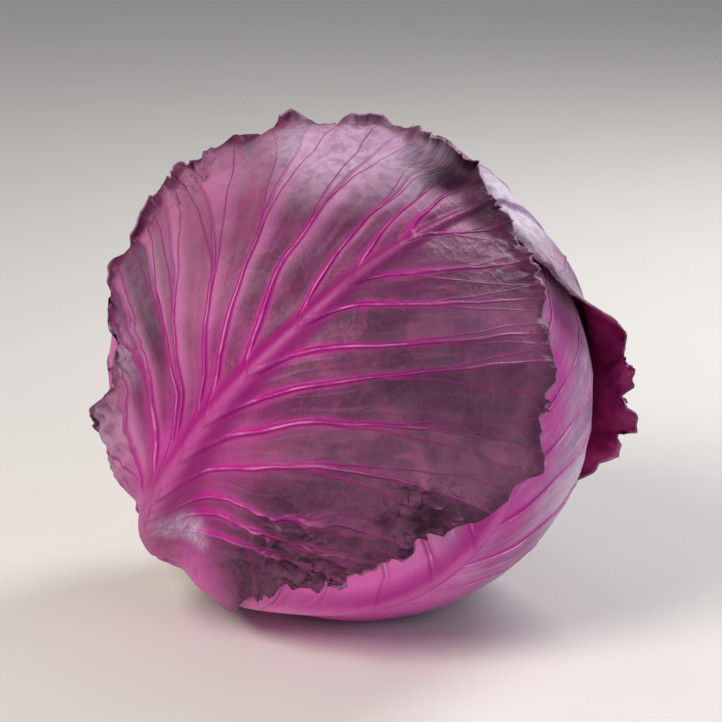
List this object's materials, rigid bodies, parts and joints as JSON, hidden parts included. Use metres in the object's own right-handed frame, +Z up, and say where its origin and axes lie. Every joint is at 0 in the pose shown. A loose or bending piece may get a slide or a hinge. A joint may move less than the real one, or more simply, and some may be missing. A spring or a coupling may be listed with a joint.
{
  "type": "cabbage head",
  "caption": "Head of red cabbage: a dense round heart on a short cut stem, wrapped in broad ribbed leaves with ruffled margins.",
  "frame": {"origin": "middle of the small flat spot that the head rests on, under the heart's centre", "axes": "+Z up; -Y is the side that the front leaf faces; the stem points down and towards -X, the crown up and towards +X"},
  "size_m": [0.1688, 0.1633, 0.156],
  "materials": {
    "heart": "waxy pale purple leaf",
    "stem": "matte cut stem, cream with a violet rim",
    "leaf_back": "waxy red-purple leaf with pink ribs",
    "leaf_left": "waxy magenta leaf with pink ribs",
    "leaf_lower": "waxy pink-purple leaf with broad pink ribs",
    "leaf_right": "pale waxy leaf, burgundy on its inner face",
    "leaf_front": "waxy plum leaf with magenta ribs and a dark margin"
  },
  "bodies": {
    "root": {"heart": "heart", "stem": "stem", "leaf_back": "leaf_back", "leaf_left": "leaf_left", "leaf_lower": "leaf_lower", "leaf_right": "leaf_right", "leaf_front": "leaf_front"}
  },
  "joints": []
}
